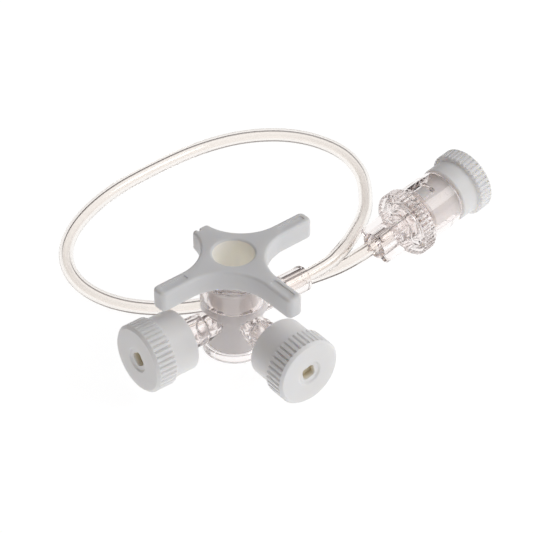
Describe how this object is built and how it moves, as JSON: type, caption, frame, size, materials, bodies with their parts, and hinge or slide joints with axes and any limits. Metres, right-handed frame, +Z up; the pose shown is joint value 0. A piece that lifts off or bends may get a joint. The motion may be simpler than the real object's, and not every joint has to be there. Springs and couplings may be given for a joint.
{
  "type": "three way stopcock with extension line",
  "caption": "Clear three way stopcock with a white cross handle, two capped lock ports and a looped extension line ending in a capped rotating lock connector.",
  "frame": {"origin": "barrel axis, in the plane of the base ring's underside", "axes": "+Z up along the tap's axis, +X along the tube socket, -X along the in-line lock port, -Y along the side lock port"},
  "size_m": [0.0775, 0.0706, 0.0199],
  "materials": {
    "housing": "clear moulded polycarbonate, gloss",
    "tap": "white moulded polyethylene, satin",
    "inline_cap": "white moulded polyethylene, satin",
    "side_cap": "white moulded polyethylene, satin",
    "extension_tube": "clear flexible PVC, gloss",
    "luer_hub": "clear moulded acrylic, gloss",
    "rotating_collar": "clear moulded polycarbonate, gloss",
    "end_cap": "white moulded polyethylene, satin"
  },
  "bodies": {
    "stopcock_body": {"housing": "housing", "extension_tube": "extension_tube", "luer_hub": "luer_hub"},
    "tap": {"tap": "tap"},
    "inline_cap": {"inline_cap": "inline_cap"},
    "side_cap": {"side_cap": "side_cap"},
    "rotating_collar": {"rotating_collar": "rotating_collar"},
    "end_cap": {"end_cap": "end_cap"}
  },
  "joints": [
    {"name": "tap_turn", "type": "hinge", "parent": "stopcock_body", "child": "tap", "pos_m": [0, 0, 0.0104], "axis": [0, 0, 1], "continuous": true},
    {"name": "inline_cap_off", "type": "slide", "parent": "stopcock_body", "child": "inline_cap", "axis": [-1, 0, 0], "range_m": [0, 0.012]},
    {"name": "side_cap_off", "type": "slide", "parent": "stopcock_body", "child": "side_cap", "axis": [0, -1, 0], "range_m": [0, 0.012]},
    {"name": "collar_turn", "type": "hinge", "parent": "stopcock_body", "child": "rotating_collar", "pos_m": [0.039, 0.00155, 0.00618], "axis": [0.9883, 0.0795, 0.1305], "continuous": true},
    {"name": "end_cap_off", "type": "slide", "parent": "rotating_collar", "child": "end_cap", "axis": [0.9883, 0.0795, 0.1305], "range_m": [0, 0.012]}
  ]
}
